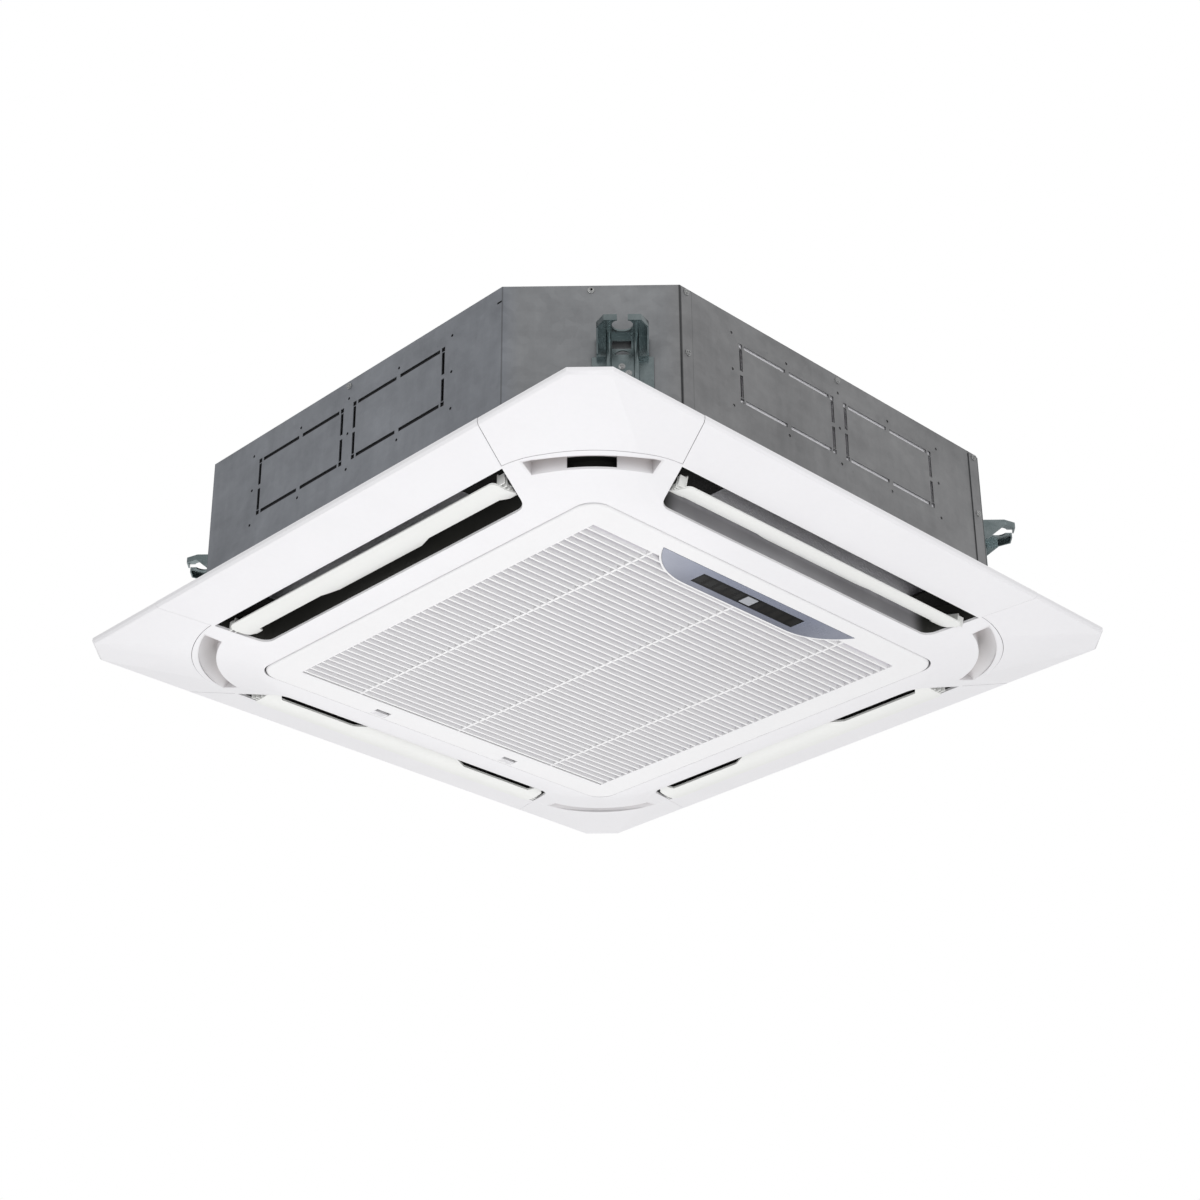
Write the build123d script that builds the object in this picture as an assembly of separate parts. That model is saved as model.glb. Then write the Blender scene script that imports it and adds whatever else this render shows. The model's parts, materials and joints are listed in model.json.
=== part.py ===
from build123d import *
import math
import os

# Ceiling cassette air conditioner, millimetres.
# Origin: centre of the panel, on the ceiling plane (z = 0, the top of the panel's rim).
# +Z up into the ceiling void, -Y the display side of the panel, -X to its left seen from above.

# ---------------------------------------------------------------- driving dimensions
# casing
BODY = 420.0          # half width of the casing (840 mm square)
BODY_CUT = 144.0      # corner chamfer, leg length
BODY_Z0, BODY_Z1 = 6.0, 211.0
SHEET = 1.2           # sheet steel
FLANGE = 18.0         # overlap of the wrapped side plates on the flat plates
# hanger
BOLT_X, BOLT_Y = 345.0, 395.0   # hanger rod positions (690 x 790 mm pitch)
ROD_HOLE = 12.0       # keyhole radius
ROD_ENTRY = 12.0      # entry slot width
SHELF_Z = 135.0
# panel
PANEL = 475.0         # half width of the panel (950 mm square)
PANEL_CUT = 35.0
RIM_H = 8.0
FLAT_Z = -38.5        # flat part of the panel's face
FLAT_H = 338.0        # half width of the flat part
SKIN = 3.0
# slots (the one on the -Y side; the others are turned copies)
SLOT_IN, SLOT_OUT = 346.5, 408.0
SLOT_HALF_OUT, SLOT_HALF_IN = 267.0, 238.0
# grille
GRILLE = 309.2
GRILLE_GAP = 0.8
GRILLE_Z = -40.0
LOUVRE = 268.0        # half width of the slatted field
PITCH = 12.1
RIBS_X = (-171.0, 0.0, 171.0)
# vane
VANE_Y, VANE_Z = -376.0, -20.0   # pivot of the -Y vane
PIN_R = 2.5
FRONT_TILT = 15.0     # the -Y vane stands opened by this angle, degrees
RUN = 0.05            # radial running clearance
# grille hinge
HINGE_Y, HINGE_Z = -288.0, -35.0
HINGE_X = 114.0
LATCH_X = 114.0
# fan
FAN_R = 234.0
# pipes
GAS_X, GAS_Z, GAS_R = 240.0, 140.0, 7.94
LIQ_X, LIQ_Z, LIQ_R = 205.0, 108.0, 4.76
DRAIN_Y, DRAIN_Z, DRAIN_R = 252.0, 96.0, 16.0
CABLE_X, CABLE_Z = -180.0, 120.0

os.makedirs("parts", exist_ok=True)


def out(name, shape):
    solids = shape.solids()
    shape = solids[0] if len(solids) == 1 else Compound(children=[s for s in solids])
    shape.label = name
    export_step(shape, f"parts/{name}.step")
    print(name, len(solids), round(sum(s.volume for s in solids)))


def bx(x0, x1, y0, y1, z0, z1):
    return Pos((x0 + x1) / 2, (y0 + y1) / 2, (z0 + z1) / 2) * Box(abs(x1 - x0), abs(y1 - y0), abs(z1 - z0))


def cyl(x, y, z0, z1, r):
    return Pos(x, y, (z0 + z1) / 2) * Cylinder(r, z1 - z0)


def cylx(x0, x1, y, z, r):
    return Pos((x0 + x1) / 2, y, z) * Rot(0, 90, 0) * Cylinder(r, x1 - x0)


def cyly(x, y0, y1, z, r):
    return Pos(x, (y0 + y1) / 2, z) * Rot(90, 0, 0) * Cylinder(r, y1 - y0)


def poly(pts):
    return make_face(Polyline(*pts, close=True))


def prism(pts, z0, z1):
    return Pos(0, 0, z0) * extrude(poly(pts), z1 - z0, dir=(0, 0, 1))


def octa(h, c):
    return [(h, -h + c), (h, h - c), (h - c, h), (-h + c, h), (-h, h - c), (-h, -h + c), (-h + c, -h), (h - c, -h)]


def octa_in(h, c, t):
    # the octagon offset inward by t on every side
    s = 2 * h - c - t * math.sqrt(2)
    return octa(h - t, 2 * (h - t) - s)


def rsq(h, r, z0, z1):
    return Pos(0, 0, z0) * extrude(RectangleRounded(2 * h, 2 * h, r), z1 - z0, dir=(0, 0, 1))


def ring(h1, r1, h0, r0, z0, z1):
    return rsq(h1, r1, z0, z1) - rsq(h0, r0, z0 - 1, z1 + 1)


def turned(s, k):
    return Rot(0, 0, 90 * k) * s


def four(s):
    r = s
    for k in (1, 2, 3):
        r = r + turned(s, k)
    return r


def both(s):
    return s + mirror(s, Plane.YZ)


def group(items):
    return Compound(children=[x for i in items for x in i.solids()])


# ---------------------------------------------------------------- casing
def knock_outs(face_half):
    # cut lines and pilot holes of two branch-duct knock-outs, on the plane y = -BODY
    c = None
    for x0, x1 in ((-175.0, -12.0), (12.0, 175.0)):
        xm = (x0 + x1) / 2
        for z in (98.0, 173.0):
            for a, b in ((x0 + 6, xm - 3.5), (xm + 3.5, x1 - 6)):
                s = bx(a, b, -BODY - 3, -BODY + 4, z - 2.5, z + 2.5)
                c = s if c is None else c + s
        for x in (x0, x1):
            for a, b in ((102.0, 132.5), (138.5, 169.0)):
                c = c + bx(x - 2.5, x + 2.5, -BODY - 3, -BODY + 4, a, b)
            for z in (98.0, 173.0):
                c = c + bx(x - 3.0, x + 3.0, -BODY - 3, -BODY + 4, z - 3.0, z + 3.0)
    for x in (-190.0, -94.0, 0.0, 94.0, 190.0):
        for z in (85.5, 185.5):
            c = c + cyly(x, -BODY - 3, -BODY + 4, z, 1.9)
    for x in (-190.0, 0.0, 190.0):
        c = c + cyly(x, -BODY - 3, -BODY + 4, 135.5, 1.9)
    return c


wall = prism(octa(BODY, BODY_CUT), BODY_Z0, BODY_Z1 - SHEET) - prism(
    octa_in(BODY, BODY_CUT, SHEET), BODY_Z0 - 1, BODY_Z1)
lip = prism(octa_in(BODY, BODY_CUT, 0.5), BODY_Z0, BODY_Z0 + SHEET) - prism(
    octa_in(BODY, BODY_CUT, 12.5), BODY_Z0 - 1, BODY_Z0 + 3)
shell = wall + lip
edge = BODY - BODY_CUT          # 276
side_half = shell & bx(-BODY - 5, -edge + 1.4, -BODY - 5, BODY + 5, 0, 220)
flange = (bx(-edge - 0.6, -edge + FLANGE, -BODY - SHEET, -BODY, BODY_Z0 + 2, BODY_Z1 - SHEET - 2)
          + bx(-edge - 0.6, -edge + 1.4, -BODY - SHEET, -BODY + 1.0, BODY_Z0 + 2, BODY_Z1 - SHEET - 2))
side_left = side_half + flange + mirror(flange, Plane.XZ)
# the narrow slot near the upper edge of the fold
side_left = side_left - bx(-BODY - 3, -BODY + 3, -edge + 0.5, -edge + 8, 190, 192.4)
side_right = mirror(side_left, Plane.YZ)
side_left = side_left - turned(knock_outs(0), 3)
front = (shell & bx(-edge + 1.6, edge - 1.6, -BODY - 5, -BODY + 16, 0, 220)) - knock_outs(0)
rear = mirror(shell & bx(-edge + 1.6, edge - 1.6, -BODY - 5, -BODY + 16, 0, 220), Plane.XZ)
# openings for the pipes and the cable in the rear plate, for the drain in the right plate
rear = rear - bx(182, 252, BODY - 3, BODY + 3, 88, 164)
rear = rear - cyly(CABLE_X, BODY - 3, BODY + 3, CABLE_Z, 14.0)
side_right = side_right - cylx(BODY - 3, BODY + 3, DRAIN_Y, DRAIN_Z, 13.0)
out("side_casing_left", side_left)
out("side_casing_right", side_right)
out("front_casing", front)
out("rear_casing", rear)

# top plate with a rim turned down inside the walls, and a pressed ring that stiffens it
top = prism(octa(BODY, BODY_CUT), BODY_Z1 - SHEET, BODY_Z1)
top = top + (prism(octa_in(BODY, BODY_CUT, SHEET + 0.1), 195, BODY_Z1 - SHEET)
             - prism(octa_in(BODY, BODY_CUT, SHEET + 1.1), 190, BODY_Z1 - SHEET))
for r in (150.0, 260.0):
    top = top - (cyl(0, 0, BODY_Z1 - 0.5, BODY_Z1 + 1, r + 5) - cyl(0, 0, BODY_Z1 - 1, BODY_Z1 + 2, r - 5))
out("top_plate", top)

# sheet-metal screws, one shape for every place: washer head, hexagon and short thread
def screw_y(x, z, y=-BODY, r=4.0, deep=2.0):
    h = cyly(x, y - 1.2, y, z, r)
    hx = Pos(x, y - 1.2, z) * Rot(90, 0, 0) * extrude(RegularPolygon(2.9, 6), 1.8)
    cross = bx(x - 1.9, x + 1.9, y - 3.4, y - 2.1, z - 0.45, z + 0.45) + bx(x - 0.45, x + 0.45, y - 3.4, y - 2.1, z - 1.9, z + 1.9)
    return (h + hx) - cross


screws = []
for sy in (0, 2):
    for x in (-edge + 9, edge - 9):
        for z in (204.0, 121.0, 40.0):
            screws.append(turned(screw_y(x, z, -BODY - SHEET), sy))
for k in range(4):
    screws.append(turned(screw_y(0, 203.0), k))
diag = (2 * BODY - BODY_CUT) / math.sqrt(2)      # distance of a chamfer plane from the axis
for k in range(4):
    screws.append(Rot(0, 0, 90 * k - 45) * screw_y(0, 204.0, -diag))

# ---------------------------------------------------------------- hanger bracket, at the -X -Y corner
U0 = (-BOLT_X + BOLT_Y) / math.sqrt(2)           # along the chamfer
W0 = (BOLT_X + BOLT_Y) / math.sqrt(2)            # rod distance from the unit's axis
P0 = -diag


def bracket():
    off = 9.0                                     # how far the raised web stands off the chamfer
    low, mid = 108.0, 112.0                       # lower end of the wide web, upper end of the foot plate
    b = bx(U0 - 35, U0 + 35, P0 - 1.6, P0, 22, mid)
    # raised web: narrow below, full width above, with its returns to the chamfer
    b = b + bx(U0 - 29.5, U0 + 29.5, P0 - off, P0 - off + 1.8, low, SHELF_Z)
    b = b + bx(U0 - 15.5, U0 + 15.5, P0 - off, P0 - off + 1.8, 26, mid)
    b = b + bx(U0 - 15.5, U0 + 15.5, P0 - off, P0, 26, 27.8)
    b = b + bx(U0 - 29.5, U0 + 29.5, P0 - off, P0, low, low + 1.6)
    for s in (-1, 1):
        b = b + bx(U0 + s * 29.5, U0 + s * 27.7, P0 - off, P0, low, SHELF_Z)
        b = b + bx(U0 + s * 16.4, U0 + s * 14.6, P0 - off, P0, 26, mid)
        # cheek folded down from the side of the shelf
        ck = Pos(U0 + s * 28.6, 0, 0) * extrude(
            Plane.YZ * poly([(P0 - off + 1, low + 2), (P0 - 12, low + 2), (P0 - 35, SHELF_Z - 6), (P0 - 35, SHELF_Z), (P0 - off + 1, SHELF_Z)]), 0.9, both=True)
        b = b + ck
        # pressed stiffening ribs that run over the bend
        b = b + cyl(U0 + s * 15.5, P0 - off + 1.4, 28, SHELF_Z + 0.5, 3.4)
        b = b + bx(U0 + s * 15.5 - 1.7, U0 + s * 15.5 + 1.7, P0 - 22, P0 - off, SHELF_Z - 3.5, SHELF_Z + 0.5)
    outline = [(U0 - 29.5, P0), (U0 - 29.5, P0 - 35), (U0 - 21, P0 - 50), (U0 + 21, P0 - 50), (U0 + 29.5, P0 - 35), (U0 + 29.5, P0)]
    inside = [(U0 - 27.7, P0), (U0 - 27.7, P0 - 34.5), (U0 - 19.9, P0 - 48.2), (U0 + 19.9, P0 - 48.2), (U0 + 27.7, P0 - 34.5), (U0 + 27.7, P0)]
    b = b + prism(outline, SHELF_Z, SHELF_Z + 2.2)
    # lip turned down along the shelf's front
    b = b + ((prism(outline, SHELF_Z - 5.5, SHELF_Z + 1) - prism(inside, SHELF_Z - 7, SHELF_Z + 3))
             & bx(U0 - 40, U0 + 40, P0 - 60, P0 - 34.6, 0, 200))
    b = b - cyl(U0, -W0, SHELF_Z - 1, SHELF_Z + 6, ROD_HOLE)
    b = b - bx(U0 - ROD_ENTRY / 2, U0 + ROD_ENTRY / 2, P0 - 60, -W0, SHELF_Z - 7, SHELF_Z + 6)
    # window and lens-shaped slot in the web
    b = b - bx(U0 - 12.0, U0 + 10, P0 - off - 2, P0 - off + 2.2, 118, 129)
    b = b - (bx(U0 - 9, U0 + 9, P0 - off - 2, P0 - off + 2.2, 110.4, 116) & cyly(U0, P0 - off - 3, P0 - off + 3, 105, 11.0))
    return b


br = Rot(0, 0, -45) * bracket()
br2 = mirror(br, Plane.XZ)
br3 = mirror(br, Plane.YZ)
br4 = mirror(br2, Plane.YZ)
out("hanger_brackets", group([br, br2, br3, br4]))
for du, z in ((-1, 94.0), (6.5, 85.0), (0, 40.0)):
    s = screw_y(U0 + du, z, P0 - 9.0)
    s1 = Rot(0, 0, -45) * s
    screws += [s1, mirror(s1, Plane.XZ), mirror(s1, Plane.YZ), mirror(mirror(s1, Plane.XZ), Plane.YZ)]
for du, z in ((-25, 48.0), (25, 48.0)):
    s1 = Rot(0, 0, -45) * screw_y(U0 + du, z, P0 - 1.6)
    screws += [s1, mirror(s1, Plane.XZ), mirror(s1, Plane.YZ), mirror(mirror(s1, Plane.XZ), Plane.YZ)]
out("casing_screws", group(screws))

# ---------------------------------------------------------------- insulation, drain pan, bell mouth
outer, inner = octa_in(BODY, BODY_CUT, 2.6), octa_in(BODY, BODY_CUT, 17)
# eight boards around the casing, mitred at the corners, and a lid on them
boards = [prism([outer[i], outer[(i + 1) % 8], inner[(i + 1) % 8], inner[i]], 52, 196) for i in range(8)]
boards[0] = boards[0] - cylx(395, 425, DRAIN_Y, DRAIN_Z, 14)
boards[2] = boards[2] - bx(180, 254, 395, 425, 86, 166) - cyly(CABLE_X, 395, 425, CABLE_Z, 15)
# hollows behind the cut lines of the knock-outs
hollow = None
for x in (-175.0, -12.0, 12.0, 175.0):
    s = bx(x - 4.2, x + 4.2, -BODY, -BODY + 14, 100, 171)
    hollow = s if hollow is None else hollow + s
boards[6] = boards[6] - hollow
boards[4] = boards[4] - turned(hollow, 3)
lid = prism(outer, 196, 208) - cyl(0, 0, 190, 212, 92)
out("insulation_liner", group([lid] + boards[:2] + boards[3:]))
out("insulation_liner_rear", boards[2])

pan = prism(octa_in(BODY, BODY_CUT, 2.6), 7.6, 50) - cyl(0, 0, 0, 60, 198)
slot_hole = Pos(0, -(345 + 404.5) / 2, 0) * extrude(RectangleRounded(484, 59.5, 8), 60)
for k in range(4):
    pan = pan - turned(slot_hole, k)
pan = pan - ring(306, 101, 255, 50, 38, 60)               # trough under the coil
pan = pan - bx(-186, 186, -294, -219, 0, 35)               # recess for the electrical box
pan = pan - bx(322, 378, 243, 283, 33, 60)                 # sump under the pump
pan = pan - bx(300, 330, 268, 300, 38, 60)
for sx in (-1, 1):
    for sy in (-1, 1):
        pan = pan - cyl(sx * 283, sy * 283, 0, 22, 3.2)
pan = pan - cyl(-232, 232, 0, 60, 7.0)                     # drain opening for the plug
out("drain_pan", pan)
plug = cyl(-232, 232, 3.4, 7.2, 11) + cyl(-232, 232, 3.4, 30, 6.7) - cyl(-232, 232, 2, 12, 3.5)
out("drain_plug", plug)

# bell mouth: square flange under the pan and a flared ring up into the fan's inlet
prof = [(196, 3.0), (196, 5.4), (184, 6.6), (175, 12), (168.5, 24), (165.5, 40), (164.5, 61), (162.3, 61),
        (163.2, 40), (166.2, 23), (173.3, 10.2), (182.8, 4.4), (190, 3.0)]
bell = revolve(Plane.XZ * poly(prof), Axis.Z, 360)
bell = bell + (rsq(214, 20, 3.0, 5.4) - cyl(0, 0, 0, 9, 193))
out("bell_mouth", bell)

# ---------------------------------------------------------------- heat exchanger
coil = ring(300, 95, 262, 57, 42, 190) - bx(214, 310, 214, 310, 0, 220)
out("fin_block", coil)
pl = bx(214.4, 216.2, 260.5, 301.5, 41, 191)
bends = []
for row_y in (268.0, 288.0):
    for z in (54.0, 96.0, 138.0):
        t = Pos(216.2, row_y, z + 10.5) * Rot(0, 0, 0) * Rot(90, 0, 0) * Torus(10.5, 3.5)
        t = t & bx(216.3, 240, row_y - 6, row_y + 6, z - 8, z + 30)
        bends.append(t)
out("coil_end_plates", group([pl, mirror(pl, Plane(origin=(0, 0, 0), z_dir=(1, -1, 0)))]))
bends2 = [mirror(b, Plane(origin=(0, 0, 0), z_dir=(1, -1, 0))) for b in bends]
out("tube_bends", group(bends + bends2))

# refrigerant pipes: header, run through the rear plate, flare union
gas = cyl(GAS_X, 262, 54, 172, 9.0) + cyly(GAS_X, 262, 424, GAS_Z, GAS_R)
gas = gas - cyly(GAS_X, 258, 426, GAS_Z, GAS_R - 1)
out("gas_pipe", gas)
liq = cyly(LIQ_X, 300.3, 424, LIQ_Z, LIQ_R) - cyly(LIQ_X, 306, 426, LIQ_Z, LIQ_R - 0.8)
out("liquid_pipe", liq)


def union(x, z, pipe_r, thread_r, across, y0=424.0, length=16.0):
    u = Pos(x, y0 + 9, z) * Rot(90, 0, 0) * extrude(RegularPolygon(across / 2, 6, major_radius=False), 9)
    u = u + cyly(x, y0 + 9, y0 + 9 + length, z, thread_r)
    return u - cyly(x, y0 - 1, y0 + 10 + length, z, pipe_r - 1)


out("gas_union", union(GAS_X, GAS_Z, GAS_R, 11.1, 27))
out("liquid_union", union(LIQ_X, LIQ_Z, LIQ_R, 7.94, 19, length=14.0))
cover = bx(174, 257.4, BODY, BODY + 1.2, 80, 172)
cover = cover - cyly(GAS_X, BODY - 2, BODY + 3, GAS_Z, GAS_R + 2) - cyly(LIQ_X, BODY - 2, BODY + 3, LIQ_Z, LIQ_R + 2)
cover = cover - cyly(180, BODY - 2, BODY + 3, 85, 1.8) - cyly(180, BODY - 2, BODY + 3, 167, 1.8)
out("pipe_cover_plate", cover)

# ---------------------------------------------------------------- fan
motor = cyl(0, 0, 160, 204, 70) + cyl(0, 0, 154, 160, 40)
motor = motor - cyl(0, 0, 150, 175, 6.0 + RUN)
for k in range(4):
    motor = motor + Rot(0, 0, 45 + 90 * k) * (bx(64, 86, -10, 10, 190, 193))
out("fan_motor", motor)
dampers = []
for k in range(4):
    d = Rot(0, 0, 45 + 90 * k) * (cyl(78.5, 0, 193, BODY_Z1 - SHEET, 6.5))
    dampers.append(d)
out("motor_dampers", group(dampers))
out("fan_shaft", cyl(0, 0, 112, 174, 6.0))

shroud = revolve(Plane.XZ * poly([(169, 64), (171.5, 64), (178, 70), (FAN_R, 79), (FAN_R, 82), (177, 73), (169, 66)]), Axis.Z, 360)
hub = cyl(0, 0, 147, 150, FAN_R) - cyl(0, 0, 140, 155, 6.0)
hub = hub + (cyl(0, 0, 124, 148, 14) - cyl(0, 0, 120, 155, 6.0))
hub = hub + (cyl(0, 0, 140, 148, 60) - cyl(0, 0, 130, 155, 14) - cyl(0, 0, 138, 145, 57) )
blades = None
NB = 7
for k in range(NB):
    a = ThreePointArc((150, 0), (188, -34), (229, -52))
    b = ThreePointArc((229.5, -48.5), (188.5, -29.5), (151.5, 3.2))
    f = make_face([a, Line((229, -52), (229.5, -48.5)), b, Line((151.5, 3.2), (150, 0))])
    blade = Pos(0, 0, 60) * extrude(f, 88)
    blade = blade - revolve(Plane.XZ * poly([(100, 30), (100, 70), (171, 70), (178, 71.8), (240, 81.3), (240, 30)]), Axis.Z, 360)
    blade = Rot(0, 0, k * 360 / NB) * blade
    blades = blade if blades is None else blades + blade
fan = hub + shroud + blades
out("turbo_fan", fan)
nut = Pos(0, 0, 116) * extrude(RegularPolygon(9.5, 6, major_radius=False), 7.8) - cyl(0, 0, 110, 126, 6.0)
nut = nut + (cyl(0, 0, 122.4, 124, 12.5) - cyl(0, 0, 110, 126, 6.0))
out("fan_nut", nut)

# ---------------------------------------------------------------- drain pump and float
PX, PY = 350.0, 263.0
pump = cyl(PX, PY, 52, 58, 26) + cyl(PX, PY, 58, 112, 21) + cyl(PX, PY, 35.5, 52, 19)
pump = pump - cyl(PX, PY, 30, 50, 16.5) - cyl(PX, PY, 45, 70, 3.0 + RUN)
pump = pump + cylx(PX + 12, 400, DRAIN_Y, DRAIN_Z, 9.0)
pump = pump - cylx(PX + 20, 402, DRAIN_Y, DRAIN_Z, 7.0)
pump = pump + bx(PX - 26, PX + 26, PY - 5, PY + 5, 112, 116)
out("pump_housing", pump)
imp = cyl(PX, PY, 37, 68, 3.0)
for k in range(4):
    imp = imp + Pos(PX, PY, 0) * Rot(0, 0, 45 * k) * bx(-14, 14, -1, 1, 38, 48)
imp = imp + cyl(PX, PY, 46.5, 48.5, 14)
out("pump_impeller", imp)
FX, FY = 315.0, 284.0
out("float_switch", cyl(FX, FY, 42, 100, 3.0) + cyl(FX, FY, 84, 104, 12) + cyl(FX, FY, 42, 44, 5.5)
    + bx(FX, PX - 10, FY - 3, FY - 0.5, 92, 98) - cyl(PX, PY, 80, 112, 21.0))
out("pump_float", cyl(FX, FY, 44.4, 62, 10) - cyl(FX, FY, 40, 66, 3.0 + 0.3))
drain = cylx(400, BODY, DRAIN_Y, DRAIN_Z, 12.6) + cylx(BODY, BODY + 3, DRAIN_Y, DRAIN_Z, 21) + cylx(BODY + 3, BODY + 36, DRAIN_Y, DRAIN_Z, DRAIN_R)
drain = drain - cylx(398, BODY + 40, DRAIN_Y, DRAIN_Z, 10.5)
out("drain_outlet", drain)

# ---------------------------------------------------------------- electrical box
EB = dict(x0=-180, x1=180, y0=-285.0, y1=-224, z0=-13.0, z1=33.0)
ebox = bx(EB["x0"], EB["x1"], EB["y0"], EB["y1"], EB["z0"], EB["z1"]) - bx(
    EB["x0"] + 1.2, EB["x1"] - 1.2, EB["y0"] + 1.2, EB["y1"] - 1.2, EB["z0"] - 1, EB["z1"] - 1.2)
out("electrical_box", ebox)
out("electrical_cover", bx(EB["x0"], EB["x1"], EB["y0"], EB["y1"], EB["z0"] - 1.2, EB["z0"])
    - cyl(-170, -256, -20, 0, 2.2) - cyl(170, -256, -20, 0, 2.2))
board = bx(-170, 70, -283.2, -228, 20, 21.6)
board = board + cyl(-140, -256, 2, 20, 9) + bx(-118, -84, -272, -240, 6, 20) + bx(-70, -40, -280, -262, 12, 20)
board = board + bx(-70, -46, -250, -232, 12, 20) + cyl(-18, -268, 4, 20, 7) + cyl(0, -268, 4, 20, 7) + bx(20, 60, -250, -240, 10, 20)
for x in (-160, 60):
    for y in (-280, -232):
        board = board + cyl(x, y, 20, 31.8, 2.5)
out("control_board", board)
term = bx(84, 168, -268, -244, 18, 31.8)
for i in range(6):
    term = term - bx(87 + i * 13.5, 97 + i * 13.5, -270, -248, 22 - 8, 22)
out("terminal_block", term)
gr = cyly(CABLE_X, BODY - 4.5, BODY + 6, CABLE_Z, 13.9) + cyly(CABLE_X, BODY, BODY + 2.4, CABLE_Z, 17) + cyly(CABLE_X, BODY - 4.5, BODY - 2, CABLE_Z, 14.8)
gr = gr - cyly(CABLE_X, BODY - 10, BODY + 10, CABLE_Z, 9.0)
out("cable_grommet", gr)

# ---------------------------------------------------------------- panel shape
def tapered(sections):
    return loft(sections, ruled=True)


def at(face, z):
    return Pos(0, 0, z) * face


def panel_solid(dz=0.0, inset=0.0):
    """Outer form of the panel, moved up by dz; inset pulls the rim in."""
    h, c = PANEL - inset, PANEL_CUT - inset * (2 - math.sqrt(2))
    a = Pos(0, 0, -5.0 + dz) * extrude(poly(octa(h, c)), 5.0 + 20.0, dir=(0, 0, 1))
    b = tapered([at(poly(octa(h, c)), -5.0 + dz), at(poly(octa(h - 2.5, c - 1.2)), -RIM_H + dz)])
    s = tapered([at(poly(octa(h - 2.5, c - 1.2)), -RIM_H + dz), at(RectangleRounded(2 * FLAT_H, 2 * FLAT_H, 110), FLAT_Z + dz)])
    return a + b + s


outer = panel_solid(0.0)
below0 = bx(-500, 500, -500, 500, -60, 0)
outer = outer & below0


def shell_layer(d0, d1, inset0, inset1):
    """Skin between the form moved up by d0 and by d1, rim inset likewise."""
    a = panel_solid(d0, inset0) & below0 if d0 else outer
    return a - panel_solid(d1, inset1)


skin = shell_layer(0, SKIN, 0, 3.0)

# footprint of a corner cover at the -X -Y corner
A1, A2 = (-411.0, -269.0), (-269.0, -411.0)


def corner_face(g=0.0):
    # g grows the outline into the frame
    s = g * 0.7071
    arc = ThreePointArc((A2[0] + g * 1.0, A2[1] + g * 0.3), (-367.5 + s, -367.5 + s), (A1[0] + g * 0.3, A1[1] + g * 1.0))
    l1 = Polyline((A1[0] + g * 0.3, A1[1] + g * 1.0), (-480.0, -302.3 + g), (-480.0, -480.0), (-302.3 + g, -480.0), (A2[0] + g * 1.0, A2[1] + g * 0.3))
    return make_face([arc] + list(l1.edges()))


def corner_prism(g, z0=-60.0, z1=5.0):
    return Pos(0, 0, z0) * extrude(corner_face(g), z1 - z0, dir=(0, 0, 1))


corner = corner_prism(0.0)
corner_grown = corner_prism(5.0)

# slot outline on the -Y side
def slot_face(g=0.0):
    # g grows the outline
    yo, yi = -SLOT_OUT - g, -SLOT_IN + g
    xo = SLOT_HALF_OUT + g * 1.15
    k = (SLOT_HALF_OUT - 239.0) / (SLOT_OUT - SLOT_IN)
    xi = xo - k * (yi - yo)
    f = make_face(Polyline((-xo, yo), (xo, yo), (xi, yi), (-xi, yi), close=True))
    vs = f.vertices().sort_by(Axis.Y)
    f = fillet([v for v in f.vertices() if v.Y > yi - 1], 21 - min(g, 4))
    return f


def slot_prism(g, z0, z1):
    return Pos(0, 0, z0) * extrude(slot_face(g), z1 - z0, dir=(0, 0, 1))


frame = skin
frame = frame - corner
for k in (1, 2, 3):
    frame = frame - turned(corner, k)
# layer that carries a corner cover, set back by the cover's thickness
under = shell_layer(SKIN - 0.3, SKIN + 2.3, SKIN - 0.3, SKIN + 2.3)
under = under & corner_grown
frame = frame + four(under)
# rim thickness inside, all round
frame = frame - rsq(GRILLE + GRILLE_GAP, 26.5, -60, 10)
# wall around the grille and the ledge above it
frame = frame + ring(313.5, 30.0, 310.0, 26.5, -36.0, -10.0)
frame = frame + ring(311.0, 29.0, 291.5, 14.0, -14.0, -12.0)
# arc vents
CV = 237.0


def sector(r0, r1, a0, a1, z0, z1):
    p = [(r0 * math.cos(math.radians(a)), r0 * math.sin(math.radians(a))) for a in (a0, (a0 + a1) / 2, a1)]
    q = [(r1 * math.cos(math.radians(a)), r1 * math.sin(math.radians(a))) for a in (a1, (a0 + a1) / 2, a0)]
    f = make_face([ThreePointArc(*p), Line(p[2], q[0]), ThreePointArc(*q), Line(q[2], p[0])])
    return Pos(-CV, -CV, z0) * extrude(f, z1 - z0, dir=(0, 0, 1))


def wedge(pts, a0, a1):
    # a section (radius, height) turned about the vent's centre
    return Pos(-CV, -CV, 0) * Rot(0, 0, a0) * revolve(Plane.XZ * poly(pts), Axis.Z, a1 - a0)


vent_wall = (sector(150.5, 153.0, 196.6, 253.4, -36.0, -9.0) + sector(150.5, 178.5, 196.6, 199.0, -36.0, -9.0)
             + sector(150.5, 178.5, 251.0, 253.4, -36.0, -9.0))
# scooped roof: low at the outer edge, rising to the inner wall
scoop = wedge([(179.0, -36.0), (179.0, -22.5), (172.0, -16.6), (165.0, -12.3), (157.0, -9.8), (150.6, -9.1), (150.6, -11.4), (156.0, -12.2),
               (163.5, -14.8), (170.0, -19.0), (176.0, -24.5), (176.0, -36.0)], 197.0, 253.0)
vent = (vent_wall & outer) + (scoop & outer)
vent_in = sector(153.0, 176.0, 199.0, 251.0, -60.0, 0.0)
vent_win = sector(148.0, 154.0, 214.5, 235.5, -27.5, -12.8)
for k in range(4):
    frame = frame - turned(vent_in, k)
    frame = frame + turned(vent, k)
    frame = frame - turned(vent_win, k)
# slots
for k in range(4):
    frame = frame - turned(slot_prism(0, -60, 5), k)
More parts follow.
